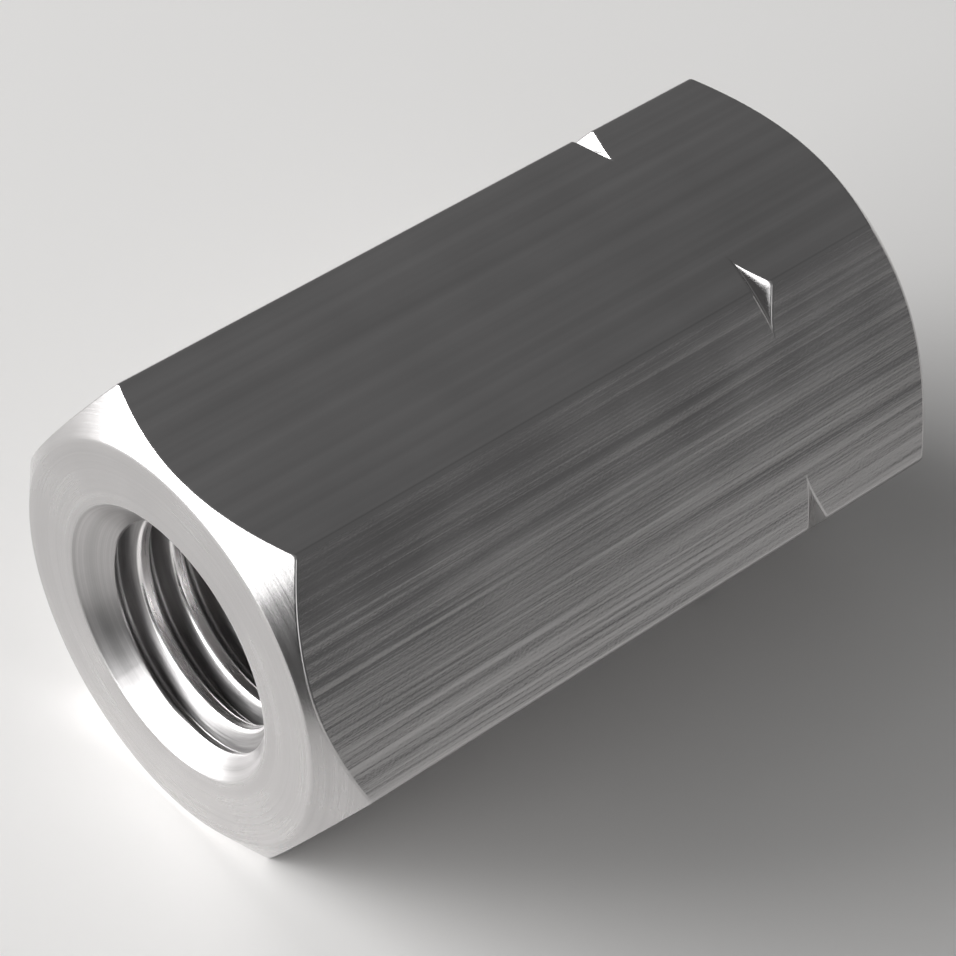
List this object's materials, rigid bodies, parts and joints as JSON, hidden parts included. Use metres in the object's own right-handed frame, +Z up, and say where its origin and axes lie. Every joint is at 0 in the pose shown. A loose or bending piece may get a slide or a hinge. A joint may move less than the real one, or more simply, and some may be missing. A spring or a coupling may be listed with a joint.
{
  "type": "coupling nut",
  "caption": "Long hexagonal coupling nut with chamfered and countersunk ends, threaded right-hand at the plain end and left-hand at the grooved end.",
  "frame": {"origin": "middle of the nut, on the axis of its thread", "axes": "+X along the thread's axis to the grooved, left-hand end; +Z up, square to the two flats that the nut lies on and shows on top; +Y to a corner"},
  "size_m": [0.03, 0.0196, 0.017],
  "materials": {
    "drawn_steel": "bright drawn flats with fine lengthwise lines, turned and chamfered ends"
  },
  "bodies": {
    "root": {"coupling_nut": "drawn_steel"}
  },
  "joints": []
}
